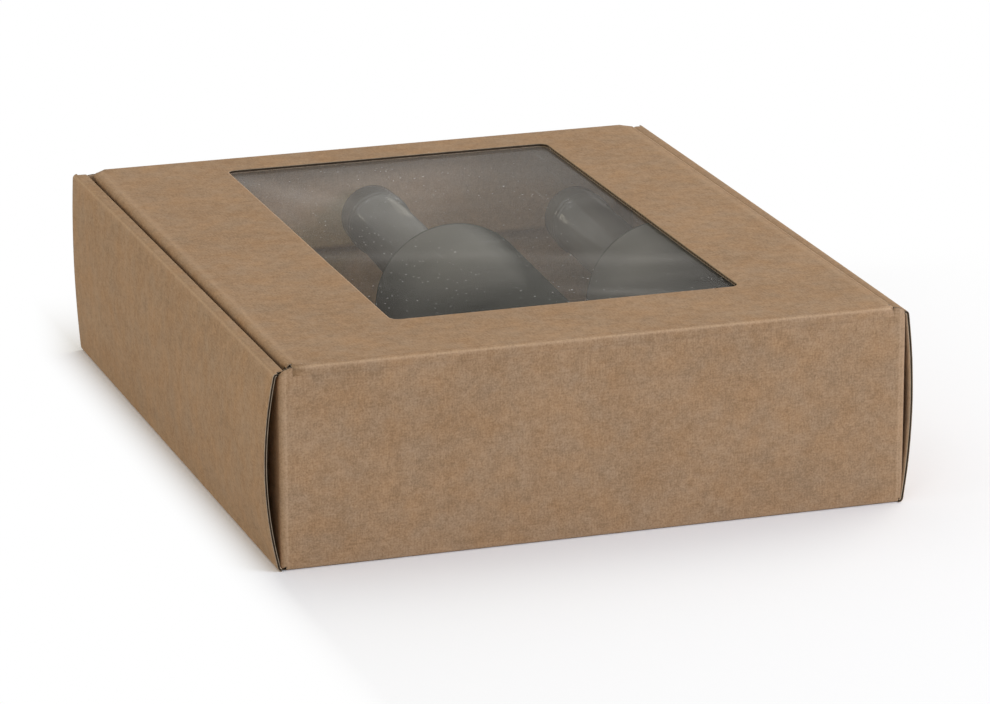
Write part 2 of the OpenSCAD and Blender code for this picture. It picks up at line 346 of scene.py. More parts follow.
def glass_finish(name):
    """Dark bottle glass with faint waves from its mould; its grey is partly dust and partly a painted sheen.
    Its colour is painted darker towards the foot and where it turns away, as shade; it shines on the mouth's
    ring, and lets part of the light through to the box's inside."""
    material, g = new_finish(name)
    place = g.place()
    wave = g.noise(place, 24, 2, 0.5)
    band = g.noise(place, 11, 1, 0.4, (0.25, 1.6, 0.3))
    turned = g.add("ShaderNodeLayerWeight", {}, {"Blend": 0.5}, out="Facing")
    tint = g.mix(wave.ramp(0.35, 0.65), (0.27, 0.29, 0.20, 1), (0.34, 0.37, 0.25, 1))
    clear = g.add("ShaderNodeBsdfPrincipled", {}, {
        "Base Color": tint,
        "Roughness": wave.ramp(0.3, 0.7, 0.0, 0.03),
        "IOR": 1.22,
        "Transmission Weight": 1.0,
        "Normal": g.bump(wave, 0.15, 0.0012),
    })
    y = g.coordinates()[1]
    foot_shade = (-0.012 - y).ramp(0.0, 0.055)
    # Grey of the glass: partly dust, partly a painted sheen that stands in for its reflection
    dust_and_sheen = g.mix(wave, (0.118, 0.115, 0.103, 1), (0.166, 0.163, 0.146, 1))
    deep = g.add("ShaderNodeBsdfPrincipled", {}, {
        # Painted shade: towards the foot and where the glass turns away, its colour goes to near black
        "Base Color": g.mix((foot_shade + turned.ramp(0.70, 0.87)).clamp(), dust_and_sheen, GLASS_SHADE),
        "Roughness": wave.ramp(0.3, 0.7, 0.20, 0.32),
        "Specular IOR Level": 0.0,
        "Coat Weight": g.attribute("ring", "Fac"),
        "Coat Roughness": 0.08,
    })
    # More dark glass towards the foot and at the rims is part of that painted shade; band sways the share into
    # painted bands of reflection
    share = 0.90 + band.ramp(0.40, 0.60, -0.08, 0.08) + foot_shade * 0.1 + turned.ramp(0.76, 0.90, 0.0, 0.2)
    seen = g.add("ShaderNodeMixShader", {}, {0: share.clamp(), 1: clear, 2: deep})
    lit = g.add("ShaderNodeBsdfTransparent", {}, {"Color": (0.62, 0.66, 0.54, 1)})
    lighting = g.any_ray("Is Shadow Ray", "Is Diffuse Ray")
    close_finish(g, g.add("ShaderNodeMixShader", {}, {0: lighting, 1: seen, 2: lit}))
    return material


KRAFT_OUT = kraft_finish("kraft_outside", (0.335, 0.218, 0.130), (0.402, 0.266, 0.163),
                         (0.262, 0.165, 0.094), 1.2, 0.10)
# The inner liner is paler than the outer one: partly its own tone, partly painted light that brightens the dim
# inside of the box
KRAFT_IN = kraft_finish("kraft_inside", (0.49, 0.342, 0.226), (0.57, 0.40, 0.268),
                        (0.40, 0.270, 0.174), 1.0, 0.12)
PAPER_EDGE = torn_paper_finish("liner_edge", (0.46, 0.37, 0.27, 1), (0.25, 0.19, 0.13, 1), 1500.0)
FLUTE_PAPER = torn_paper_finish("flute_paper", (0.30, 0.22, 0.145, 1), (0.17, 0.115, 0.07, 1), 900.0)
# The flutes' hollow is painted near black: painted shade inside the board's raw edges
FLUTE_SHADE = torn_paper_finish("flute_hollow_shade", (0.085, 0.058, 0.037, 1), (0.035, 0.024, 0.016, 1), 700.0)
CLEAR_FILM = film_finish("window_film_clear")
OLIVE_GLASS = glass_finish("bottle_glass_olive")


# Meshes

def new_object(name, points, faces, materials, indices=None, smooth=None, fields=None):
    """A mesh object from points in millimetres; fields are named values kept on its points."""
    mesh = bpy.data.meshes.new(name)
    mesh.from_pydata([tuple(p) for p in np.asarray(points, float) * MM], [], faces)
    for material in materials:
        mesh.materials.append(material)
    if indices is not None:
        mesh.polygons.foreach_set("material_index", indices)
    mesh.polygons.foreach_set("use_smooth", [True] * len(faces) if smooth is None else smooth)
    for field, values in (fields or {}).items():
        values = np.asarray(values, np.float32)
        kind, key = ("FLOAT_VECTOR", "vector") if values.ndim == 2 else ("FLOAT", "value")
        mesh.attributes.new(field, kind, "POINT").data.foreach_set(key, values.ravel())
    mesh.update()
    piece = bpy.data.objects.new(name, mesh)
    bpy.context.scene.collection.objects.link(piece)
    return piece


# Points of one sheet in the same cell of a grid are one point; the shift keeps round sizes off its lines
CELLS_PER_MM = 50
CELL_SHIFT = 0.371
LAYER_GAP = 0.02
BOARD_FINISHES = (KRAFT_OUT, PAPER_EDGE, FLUTE_SHADE, KRAFT_IN)
OUTSIDE, EDGE, HOLLOW_SHADE, INSIDE = range(4)


class Sheet:
    """The outer face of folded board, as quads that weld where two panels share a line.
    A point keeps its place, the way its face looks, its place on the flat sheet, and its wear and painted
    highlight."""

    def __init__(self):
        self.at, self.out, self.flat, self.worn, self.quads = [], [], [], [], []
        self.known = {}

    def point(self, at, out, flat, worn):
        key = tuple(int(math.floor(c * CELLS_PER_MM + CELL_SHIFT)) for c in at)
        if key not in self.known:
            self.known[key] = len(self.at)
            self.at.append(at)
            self.out.append(out)
            self.flat.append(flat)
            self.worn.append(worn)
        return self.known[key]

    def panel(self, us, vs, place, hole=None):
        """A grid over us and vs: place(u, v) gives what point() takes, hole(u, v) is true in a cut-out."""
        grid = [[self.point(*place(u, v)) for v in vs] for u in us]
        for i in range(len(us) - 1):
            for j in range(len(vs) - 1):
                if hole and hole((us[i] + us[i + 1]) / 2, (vs[j] + vs[j + 1]) / 2):
                    continue
                self.face([grid[i][j], grid[i + 1][j], grid[i + 1][j + 1], grid[i][j + 1]])

    def face(self, quad):
        a, b, c = (np.array(self.at[k]) for k in (quad[0], quad[1], quad[2]))
        turned = np.dot(np.cross(b - a, c - b), self.out[quad[0]]) < 0
        self.quads.append(quad[::-1] if turned else quad)

    def edges(self):
        """The raw edges, and for each of their points the way into the board."""
        at, out = np.array(self.at), np.array(self.out)
        met = {}
        for quad in self.quads:
            for a, b in zip(quad, quad[1:] + quad[:1]):
                met.setdefault(frozenset((a, b)), []).append((a, b))
        border = [ways[0] for ways in met.values() if len(ways) == 1]
        inward = np.zeros_like(at)
        for a, b in border:
            side = np.cross(out[a] + out[b], at[b] - at[a])
            side /= np.linalg.norm(side)
            inward[a] += side
            inward[b] += side
        size = (inward ** 2).sum(1, keepdims=True)
        return border, inward * 2 / np.maximum(size, 0.8)

    def layers(self, name, seed, seam, fray=0.12, crush=1.0):
        """The board as two liners with the hollow of its flutes between them, painted dark as shade and drawn
        back from raw edges.
        seam(x, y, z) is true where another piece carries the board on, and crush thins the raw edges."""
        rng = np.random.default_rng(seed)
        at, out = np.array(self.at), np.array(self.out)
        border, inward = self.edges()
        joined = np.array([seam(*p) for p in self.at])
        raw = ((inward ** 2).sum(1) > 0) & ~joined
        squeeze = np.where(raw, crush, 1.0)[:, None]
        count = len(at)
        points, faces, indices, smooth = [], [], [], []
        stack = (
            (0.0, LINER, 0.0, (OUTSIDE, HOLLOW_SHADE, EDGE)),
            (LINER + LAYER_GAP, BOARD - LINER - LAYER_GAP, RAW_EDGE_DEPTH, (HOLLOW_SHADE, HOLLOW_SHADE, HOLLOW_SHADE)),
            (BOARD - LINER, BOARD, 0.0, (HOLLOW_SHADE, INSIDE, EDGE)),
        )
        for top, low, inset, finishes in stack:
            ragged = np.where(raw, inset + fray * rng.random(count) * (inset == 0), 0)[:, None]
            start = len(points)
            for depth in (top, low):
                points.extend(at + inward * ragged - out * depth * squeeze)
            for quad in self.quads:
                faces.append([start + k for k in quad])
                faces.append([start + count + k for k in reversed(quad)])
                indices.extend(finishes[:2])
                smooth.extend((True, True))
            for a, b in border:
                faces.append([start + a, start + a + count, start + b + count, start + b])
                indices.append(finishes[2])
                smooth.append(False)
        copies = 2 * len(stack)
        fields = {
            "flat": np.tile(np.c_[np.array(self.flat) * MM, np.zeros(count)], (copies, 1)),
            "worn": np.tile(np.array(self.worn), copies),
        }
        return new_object(name, points, faces, BOARD_FINISHES, indices, smooth, fields)


def spaced(low, high, step):
    """Places from low to high, about step apart."""
    return list(np.linspace(low, high, max(2, int(round((high - low) / step)) + 1)))


def both_signs(values):
    return sorted({-v for v in values} | set(values))


# Tray

SIDE_YS = both_signs([0.0, 9.0, 18.0, 27.0, 36.0, 45.0, *SLOT_ENDS, *TAB_ENDS, 56.0, 65.0, 74.0,
                      86.0, 96.0, 107.0, 118.0, 128.0, 138.0, 147.0, 154.0, 159.0, 161.2, FLAT_Y, HALF_D])
FLOOR_YS = [y for y in SIDE_YS if abs(y) <= FLAT_Y]
WALL_XS = both_signs([0.0, 12.0, 24.0, 36.0, 48.0, 60.0, 72.0, 84.0, 96.0, 108.0, 119.0, 127.0,
                      EAR_X, SLOT_INNER, 134.1, 134.7, FLAT_X])
FLOOR_XS = [-FLOOR_X, *WALL_XS, FLOOR_X]
WALL_ZS = [FOLD_R, 3.6, 6.0, 12.0, 21.0, 31.0, 41.0, 51.0, 60.0, 69.0, 76.0, 81.0, CREASE_FOOT]
PANEL_ZS = [3.7, 6.0, 10.0, 16.0, 22.0, 28.0, 34.0, 40.0, 46.0, 52.0, 58.0, 64.0, 69.0, 74.0, 78.0, 81.2]
INNER_ZS = [81.0, 76.0, 64.0, 52.0, 40.0, 28.0, 16.0, 8.0, 4.0, INNER_LOW, TAB_LOW]
FLAP_YS = [FLAT_Y, 160.8, 152.0, 142.0, 132.0, 122.0, 114.0, FLAP_END]
ARC_STEPS = 8

# How the hinge wall's ears fall away: places along the board from its middle, and their heights
EAR_PLACES = (EAR_X, SLOT_INNER, FLAT_X, 137.0, 138.7, 150.0)
EAR_HEIGHTS = (86.8, 86.6, 85.9, 84.7, 82.8, 79.0)

# How far each outer panel's foot and top stand out, and its bow, at the hinge end, the middle and the front
SIDE_SHAPE = {
    -1: {"foot": (0.0, 0.0, 0.0), "lean": (0.9, 0.5, 1.7), "bow": (4.6, 2.2, 1.5)},
    1: {"foot": (-1.5, 0.0, 0.0), "lean": (-0.5, 0.5, 0.9), "bow": (2.8, 2.0, 2.1)},
}
FOOT_REACH = 70.0
RIPPLE = 0.12


def three_way(values, y):
    """The curve through values at the hinge end, the middle and the front end."""
    t = y / HALF_D
    first, middle, last = values
    return middle + (last - first) / 2 * t + ((first + last) / 2 - middle) * t * t


def foot_shift(side, y):
    """How far the floor's edge stands out; that starts well short of the middle."""
    return three_way(SIDE_SHAPE[side]["foot"], min(0.0, y + FOOT_REACH) * HALF_D / (HALF_D - FOOT_REACH))


def bulge(side, y, z):
    """How far an outer panel stands out from its flat place."""
    t = (z - FOLD_R) / (ROLL_TOP - 2 * FOLD_R)
    shape = SIDE_SHAPE[side]
    ripple = RIPPLE * math.sin(y * 0.031 + side) * math.sin(math.pi * t)
    return (foot_shift(side, y) * (1 - t) + three_way(shape["lean"], y) * t
            + three_way(shape["bow"], y) * 4 * t * (1 - t) + ripple)


def bulge_slope(side, y, z):
    return bulge(side, y, z + 0.5) - bulge(side, y, z - 0.5)


def crease_wear_and_highlight(angle):
    """Wear and painted highlight of a fold, angle past its palest line."""
    return 0.12 + 0.88 * math.exp(-(angle / 0.33) ** 2)


def fold_rows(x, z, start, end, worn_at):
    """A fold round the point (x, z), from one angle to another, palest, from wear and a painted highlight, at
    the angle worn_at.
    """
    rows = []
    for a in np.linspace(start, end, ARC_STEPS + 1):
        across, up = math.cos(a), math.sin(a)
        rows.append((x + FOLD_R * across, z + FOLD_R * up, across, up, crease_wear_and_highlight(a - worn_at)))
    return rows


def side_profile(side, y):
    """The right side's outline at y, from the floor round to the inner panel's tabs.
    Each row holds x, z, the outward direction's x and z, and the wear and painted highlight."""
    low_turn = math.atan(bulge_slope(side, y, FOLD_R))
    foot = FLOOR_X + foot_shift(side, y)
    top_z = ROLL_TOP - FOLD_R
    high_turn = -math.atan(bulge_slope(side, y, top_z))
    rows = fold_rows(foot, FOLD_R, -math.pi / 2, -low_turn, -0.7)
    for z in PANEL_ZS:
        lean = math.atan(bulge_slope(side, y, z))
        rows.append((SIDE_X + bulge(side, y, z), z, math.cos(lean), -math.sin(lean), 0.0))
    centre = SIDE_X + bulge(side, y, top_z) - FOLD_R
    rows += fold_rows(centre, top_z, high_turn, math.pi / 2, 0.75)
    inner_centre = INNER_X + FOLD_R
    rows.append(((centre + inner_centre) / 2, ROLL_TOP, 0.0, 1.0, 0.0))
    rows += fold_rows(inner_centre, top_z, math.pi / 2, math.pi, 2.2)
    return rows + [(INNER_X, z, -1.0, 0.0, 0.0) for z in INNER_ZS]


def build_side(sheet, side):
    """A rolled double side: its outer panel and roll, its inner panel and the tabs that lock in the floor."""
    profiles = {}
    for y in SIDE_YS:
        rows = side_profile(side, y)
        reach = [FLOOR_X + foot_shift(side, y)]
        for first, second in zip(rows, rows[1:]):
            reach.append(reach[-1] + math.hypot(second[0] - first[0], second[1] - first[1]))
        profiles[y] = (rows, reach)

    def place(k, y):
        rows, reach = profiles[y]
        x, z, nx, nz, worn = rows[int(k)]
        return (side * x, y, z), (side * nx, 0.0, nz), (side * reach[int(k)], y), worn

    last = len(profiles[SIDE_YS[0]][0]) - 1
    band = ARC_STEPS + 1 + len(PANEL_ZS) + ARC_STEPS
    sheet.panel(range(0, band + 1), SIDE_YS, place)
    sheet.panel(range(band, last), FLOOR_YS, place)
    tab_ys = [y for y in FLOOR_YS if TAB_ENDS[0] <= abs(y) <= TAB_ENDS[1]]
    for sign in (-1, 1):
        sheet.panel((last - 1, last), [y for y in tab_ys if y * sign > 0], place)


def front_height(u):
    """Top of the front wall and its flaps, u from the middle along the board; it falls round the corner."""
    return FRONT_TOP - FRONT_ROUND + math.sqrt(max(FRONT_ROUND ** 2 - max(0.0, u - EAR_X) ** 2, 0.0))


def ear_height(u):
    """Top of the hinge wall's ears, beside the crease, and of its flaps."""
    return float(np.interp(u, EAR_PLACES, EAR_HEIGHTS))


def build_end(sheet, end, height_at, ear_only):
    """An end wall with its bottom fold, its corner folds and the flaps that reach behind the sides."""
    def fold_place(x, a):
        at = (x, end * (FLAT_Y + FOLD_R * math.sin(a)), FOLD_R - FOLD_R * math.cos(a))
        flat = (x, end * (FLAT_Y + FOLD_R * a))
        return at, (0.0, end * math.sin(a), -math.cos(a)), flat, crease_wear_and_highlight(a - 0.85)

    quarter = list(np.linspace(0, math.pi / 2, ARC_STEPS + 1))
    sheet.panel(WALL_XS, quarter, fold_place)
    flat_start = FLAT_Y + FOLD_R * math.pi / 2 - FOLD_R
    zs = WALL_ZS + [CREASE_FOOT + 1]

    def wall_place(x, z):
        height = z if z <= CREASE_FOOT else height_at(abs(x))
        # Towards the corner the wall is painted paler, a painted highlight on its rounded fold
        worn = 0.12 if z == FOLD_R else float(np.interp(abs(x), (134.0, 134.7, FLAT_X), (0.0, 0.75, 0.35)))
        return (x, end * HALF_D, height), (0.0, end, 0.0), (x, end * (flat_start + height)), worn

    if ear_only:
        sheet.panel(WALL_XS, WALL_ZS, wall_place)
        for sign in (-1, 1):
            sheet.panel([x for x in WALL_XS if x * sign >= EAR_X], zs[-2:], wall_place)
    else:
        sheet.panel(WALL_XS, zs, wall_place)

    corner_end = FLAT_X + FOLD_R * math.pi / 2

    def share_of(z):
        return (wall_place(FLAT_X, z)[0][2] - FOLD_R) / (height_at(FLAT_X) - FOLD_R)

    for side in (-1, 1):
        def corner_place(a, z, side=side):
            u = FLAT_X + FOLD_R * a
            low = FOLD_R - CORNER_DIP * math.sin(a)
            height = low + share_of(z) * (height_at(u) - low)
            at = (side * (FLAT_X + FOLD_R * math.sin(a)), end * (FLAT_Y + FOLD_R * math.cos(a)), height)
            flat = (side * u, end * (flat_start + height))
            # The rounded corner is painted paler: partly wear, partly a painted highlight
            worn = 0.35 + 0.2 * math.sin(a * 2) if a < 1.57 else 0.2
            return at, (side * math.sin(a), end * math.cos(a), 0.0), flat, worn

        sheet.panel(quarter, zs, corner_place)

        def flap_place(y, z, side=side):
            past = FLAT_Y - y
            far = past / (FLAT_Y - FLAP_END)
            trim = FLAP_TRIM * max(0.0, far - 0.8) / 0.2
            low = FOLD_R - CORNER_DIP + (FLAP_INSET + CORNER_DIP) * min(1.0, past / 2.2) + trim
            high = height_at(corner_end + past) - trim
            height = low + share_of(z) * (high - low)
            flat = (side * (corner_end + past), end * (flat_start + height))
            return (side * WALL_X, end * y, height), (side, 0.0, 0.0), flat, 0.0

        sheet.panel(FLAP_YS, zs, flap_place)


def build_tray():
    sheet = Sheet()

    def in_slot(x, y):
        return SLOT_INNER < abs(x) < FLAT_X and SLOT_ENDS[0] < abs(y) < SLOT_ENDS[1]

    def floor_place(x, y):
        if abs(x) == FLOOR_X:
            x += math.copysign(1, x) * foot_shift(math.copysign(1, x), y)
        return (x, y, 0.0), (0.0, 0.0, -1.0), (x, y), 0.0

    def meets_crease(x, y, z):
        return y < -HALF_D + 0.01 and z > CREASE_FOOT - 0.01 and abs(x) < EAR_X + 0.01

    sheet.panel(FLOOR_XS, FLOOR_YS, floor_place, in_slot)
    for side in (-1, 1):
        build_side(sheet, side)
    build_end(sheet, -1, ear_height, True)
    build_end(sheet, 1, front_height, False)
    return sheet.layers("tray_board", seed=3, seam=meets_crease, crush=0.8)


# Lid

def lid_wave(x, y):
    """How far the lid's panel sags from flat; nothing at its folds."""
    share_x = max(0.0, 1 - (x / LID_FLAT_X) ** 2)
    share_y = max(0.0, (y - CREASE_HEAD) * (LID_FRONT_Y - y) / SAG_SPREAD)
    return -min(share_x, 1.0) * min(share_y, 1.0) * (0.35 + 0.15 * math.sin(x * 0.04 + y * 0.023))


WALL_UNROLLED = FLAT_Y + FOLD_R * math.pi / 2 - FOLD_R + LID_TOP - FOLD_R


def lid_flat(x, y):
    """Place on the flat sheet of a point of the lid's panel: the lid goes on from the hinge wall."""
    return x, -(WALL_UNROLLED + FOLD_R * math.pi / 2 + y + FLAT_Y)


def window_rim():
    """The window's outline as four runs, each from the middle of one corner to the middle of the next.
    Along a run, shares 0 to 3 turn, 3 to 7 are straight, and 7 to 10 turn again."""
    left, right, near, far = WINDOW
    eighth = math.radians(45)
    r = WINDOW_R
    centres = ((left + r, near + r), (right - r, near + r), (right - r, far - r), (left + r, far - r))
    starts = (-135, -45, 45, 135)

    def run(k, shares):
        (ax, ay), (bx, by) = centres[k], centres[(k + 1) % 4]
        turn = math.radians(starts[k])
        found = []
        for share in shares:
            if share <= 3:
                a = turn + eighth * share / 3
                found.append((ax + r * math.cos(a), ay + r * math.sin(a)))
            elif share >= 7:
                a = turn + eighth + eighth * (share - 7) / 3
                found.append((bx + r * math.cos(a), by + r * math.sin(a)))
            else:
                t = (share - 3) / 4
                a = turn + eighth
                found.append((ax + (bx - ax) * t + r * math.cos(a), ay + (by - ay) * t + r * math.sin(a)))
        return found

    return run


NEAR_XS = [-LID_FLAT_X, -129.2, -126.0, -121.0, *spaced(-112, 112, 12.5), 121.0, 126.0, 129.2, LID_FLAT_X]
SIDE_EDGE_YS = [CREASE_HEAD, -160.3, WING_ENDS[0], -151.0, *spaced(-142, 142, 12.5), 149.0, WING_ENDS[1],
                LID_FRONT_Y - CORNER_CUT]
FRONT_XS = [-(LID_FLAT_X - CORNER_CUT), -TUCK_HALF, -122.0, -118.5, -114.0, *spaced(-105, 105, 12.5),
            114.0, 118.5, 122.0, TUCK_HALF, LID_FLAT_X - CORNER_CUT]


def shares_of(count):
    """Shares of one run of the window's outline for count points: three steps in each turn."""
    return [0, 1, 2, 3, *np.linspace(3, 7, count - 6)[1:-1], 7, 8, 9, 10]


# The tuck flap: its fold's turn, where its flat starts in the lid's middle, the way down it and the way out
TUCK_TURN = math.pi / 2 + TUCK_LEAN
TUCK_START = (0.0, LID_FRONT_Y + FOLD_R * math.sin(TUCK_TURN), LID_TOP - FOLD_R + FOLD_R * math.cos(TUCK_TURN))
TUCK_DOWN = Vector((0.0, -math.sin(TUCK_LEAN), -math.cos(TUCK_LEAN)))
TUCK_OUT = Vector((0.0, math.cos(TUCK_LEAN), -math.sin(TUCK_LEAN)))


def build_lid():
    sheet = Sheet()
    cut_mid = LID_FLAT_X - CORNER_CUT / 2, LID_FRONT_Y - CORNER_CUT / 2
    outer_runs = (
        [(x, CREASE_HEAD) for x in NEAR_XS],
        [(LID_FLAT_X, y) for y in SIDE_EDGE_YS] + [cut_mid],
        [cut_mid] + [(x, LID_FRONT_Y) for x in reversed(FRONT_XS)] + [(-cut_mid[0], cut_mid[1])],
        [(-cut_mid[0], cut_mid[1])] + [(-LID_FLAT_X, y) for y in reversed(SIDE_EDGE_YS)],
    )
    rim = window_rim()
    for k, outer in enumerate(outer_runs):
        inner = rim(k, shares_of(len(outer)))
        rays = list(zip(inner, outer))

        def place(i, step, rays=rays, side_line=0.5 * (k % 2)):
            (ax, ay), (bx, by) = rays[int(i)]
            length = math.hypot(bx - ax, by - ay)
            ends = (0.0, 0.8 / length, 4.5 / length), (1 - 4.5 / length, 1 - 1.6 / length, 1.0)
            t = (*ends[0], 0.3, 0.5, 0.7, *ends[1])[int(step)]
            x, y = ax + (bx - ax) * t, ay + (by - ay) * t
            # Step 0 is the pale crushed cut edge of the window; on the side runs step 7 is a painted highlight
            # line that stands for a wider fold
            worn = 0.8 if step == 0 else side_line if step == 7 else 0.0
            return (x, y, LID_TOP + lid_wave(x, y)), (0.0, 0.0, 1.0), lid_flat(x, y), worn

        sheet.panel(range(len(rays)), range(9), place)

    side_ys = SIDE_EDGE_YS[1:]
    wing_ys = [y for y in side_ys if WING_ENDS[0] <= y <= WING_ENDS[1]]
    centre_z = LID_TOP - FOLD_R
    for side in (-1, 1):
        def fold_place(a, y, side=side):
            at = (side * (LID_FLAT_X + FOLD_R * math.sin(a)), y, centre_z + FOLD_R * math.cos(a))
            flat = lid_flat(side * (LID_FLAT_X + FOLD_R * a), y)
            return at, (side * math.sin(a), 0.0, math.cos(a)), flat, crease_wear_and_highlight(a - 0.5) * 0.4

        def wing_place(depth, y, side=side):
            pull = WING_SLOPE * depth / WING_DEPTH
            low, high = WING_ENDS
            t = (y - low) / (high - low)
            y2 = low + pull + t * (high - low - 2 * pull)
            reach = LID_FLAT_X + FOLD_R * math.pi / 2 + depth
            at = (side * LID_HALF, y2, centre_z - depth)
            return at, (side, 0.0, 0.0), lid_flat(side * reach, y2), 0.0

        sheet.panel(list(np.linspace(0, math.pi / 2, ARC_STEPS + 1)), side_ys, fold_place)
        sheet.panel([0.0, 1.8, 5.0, 10.0, 15.0, 20.0, WING_DEPTH], wing_ys, wing_place)

    def front_fold(x, a):
        at = (x, LID_FRONT_Y + FOLD_R * math.sin(a), centre_z + FOLD_R * math.cos(a))
        flat = lid_flat(x, LID_FRONT_Y + FOLD_R * a)
        return at, (0.0, math.sin(a), math.cos(a)), flat, crease_wear_and_highlight(a - 0.7)

    sheet.panel(FRONT_XS, list(np.linspace(0, TUCK_TURN, ARC_STEPS + 1)), front_fold)

    def tuck_place(x, share):
        past = max(0.0, abs(x) - (TUCK_HALF - TUCK_CORNER))
        length = TUCK_LENGTH - TUCK_CORNER + math.sqrt(max(TUCK_CORNER ** 2 - past ** 2, 0.0))
        reach = length * share
        at = (x, TUCK_START[1] + TUCK_DOWN[1] * reach, TUCK_START[2] + TUCK_DOWN[2] * reach)
        return at, tuple(TUCK_OUT), lid_flat(x, LID_FRONT_Y + FOLD_R * TUCK_TURN + reach), 0.0

    tuck_xs = [x for x in FRONT_XS if abs(x) <= TUCK_HALF]
    sheet.panel(tuck_xs, [0.0, 0.05, 0.14, 0.3, 0.5, 0.7, 0.86, 0.955, 1.0], tuck_place)
    return sheet.layers("lid_board", seed=5, seam=lambda x, y, z: abs(y - CREASE_HEAD) < 0.01)


def build_crease():
    """The strip of board that bends where the lid leaves the hinge wall."""
    sheet = Sheet()
    centre_z = LID_TOP - FOLD_R
    rows = []
    for z in (CREASE_FOOT, CREASE_FOOT + SEAM_ROW, CREASE_FOOT + 1):
        rows.append(((-HALF_D, z), (-1.0, 0.0), z - centre_z, 0.0))
    for a in np.linspace(0, math.pi / 2, 2 * ARC_STEPS + 1):
        at = (-FLAT_Y - FOLD_R * math.cos(a), centre_z + FOLD_R * math.sin(a))
        # The crease is palest near the top of its bend: partly wear, partly a painted highlight
        worn = crease_wear_and_highlight(a - 0.8) - 0.12 * (1 - math.sin(2 * a))
        rows.append((at, (-math.cos(a), math.sin(a)), FOLD_R * a, worn))
    for y in (CREASE_HEAD - SEAM_ROW, CREASE_HEAD):
        rows.append(((y, LID_TOP), (0.0, 1.0), FOLD_R * math.pi / 2 + y + FLAT_Y, 0.0))

    def place(x, k):
        (y, z), (ny, nz), reach, worn = rows[int(k)]
        return (x, y, z), (0.0, ny, nz), (x, -(WALL_UNROLLED + reach)), worn

    sheet.panel(spaced(-CREASE_HALF, CREASE_HALF, 6.0), range(len(rows)), place)
    return sheet.layers("hinge_crease", seed=7, fray=0.05,
                        seam=lambda x, y, z: z < ROLL_TOP or y > CREASE_HEAD - 0.01)


# Flutes

def flute_tree():
    """Geometry nodes that follow a raw edge with the wavy middle paper of the board."""
    tree = bpy.data.node_groups.new("flute_ribbon", "GeometryNodeTree")
    tree.interface.new_socket("Edges", in_out="INPUT", socket_type="NodeSocketGeometry")
    for name in ("Wavelength", "Height", "Depth", "Paper"):
        tree.interface.new_socket(name, in_out="INPUT", socket_type="NodeSocketFloat")
    tree.interface.new_socket("Finish", in_out="INPUT", socket_type="NodeSocketMaterial")
    tree.interface.new_socket("Ribbon", in_out="OUTPUT", socket_type="NodeSocketGeometry")
    g = Graph(tree)
    edges = g.add("NodeGroupInput")
    names = ("Wavelength", "Height", "Depth", "Paper", "Finish")
    wavelength, height, depth, paper, finish = (edges.beside(name) for name in names)
    curve = g.add("GeometryNodeMeshToCurve", {}, {"Mesh": edges})
    step = wavelength / 8.0
    curve = g.add("GeometryNodeResampleCurve", {"mode": "LENGTH"}, {"Curve": curve, "Length": step})
    along = g.add("GeometryNodeSplineParameter", out="Length")
    swing = wavelength.math("SINE", along * (2 * math.pi) / wavelength) * height * 0.5
    across = g.add("GeometryNodeInputNamedAttribute", {"data_type": "FLOAT_VECTOR"}, {"Name": "across"})
    inward = g.add("GeometryNodeInputNamedAttribute", {"data_type": "FLOAT_VECTOR"}, {"Name": "inward"})
    offset = g.add("ShaderNodeVectorMath", {"operation": "SCALE"}, {0: across, "Scale": swing})
    curve = g.add("GeometryNodeSetPosition", {}, {"Geometry": curve, "Offset": offset})
    curve = g.add("GeometryNodeSetCurveNormal", {"mode": "FREE"}, {"Curve": curve, "Normal": inward})
    section = g.add("GeometryNodeCurvePrimitiveQuadrilateral", {}, {"Width": depth, "Height": paper})
    ribbon = g.add("GeometryNodeCurveToMesh", {},
                   {"Curve": curve, "Profile Curve": section, "Fill Caps": True})
    ribbon = g.add("GeometryNodeRealizeInstances", {}, {"Geometry": ribbon})
    ribbon = g.add("GeometryNodeSetMaterial", {}, {"Geometry": ribbon, "Material": finish})
    g.add("NodeGroupOutput", {}, {0: ribbon})
    return tree


FLUTE_TREE = flute_tree()
FLUTE_HEIGHT = 0.9
FLUTE_DEPTH = 0.8
FLUTE_THICK = 0.16
FLUTE_INSET = 0.55


def grow_flutes(name, paths):
    """One mesh of flutes along paths: each has its points, the board's outward direction and the way in."""
    points, edges, across, inward = [], [], [], []
    for line, out, into in paths:
        start = len(points)
        points += [tuple(p) for p in line]
        edges += [(start + k, start + k + 1) for k in range(len(line) - 1)]
        across += [out] * len(line)
        inward += [into] * len(line)
    mesh = bpy.data.meshes.new(name + "_lines")
    mesh.from_pydata([tuple(np.array(p) * MM) for p in points], edges, [])
    for field, values in (("across", across), ("inward", inward)):
        kept = mesh.attributes.new(field, "FLOAT_VECTOR", "POINT")
        kept.data.foreach_set("vector", np.array(values, np.float32).ravel())
    guide = bpy.data.objects.new(name + "_lines", mesh)
    bpy.context.scene.collection.objects.link(guide)
    modifier = guide.modifiers.new("flutes", "NODES")
    modifier.node_group = FLUTE_TREE
    sizes = {
        "Wavelength": FLUTE_PITCH * MM,
        "Height": FLUTE_HEIGHT * MM,
        "Depth": FLUTE_DEPTH * MM,
        "Paper": FLUTE_THICK * MM,
        "Finish": FLUTE_PAPER,
    }
    for item in FLUTE_TREE.interface.items_tree:
        if item.in_out == "INPUT" and item.name in sizes:
            modifier[item.identifier] = sizes[item.name]
    evaluated = guide.evaluated_get(bpy.context.evaluated_depsgraph_get())
    result = bpy.data.meshes.new_from_object(evaluated)
    bpy.data.objects.remove(guide)
    result.name = name
    piece = bpy.data.objects.new(name, result)
    bpy.context.scene.collection.objects.link(piece)
    return piece


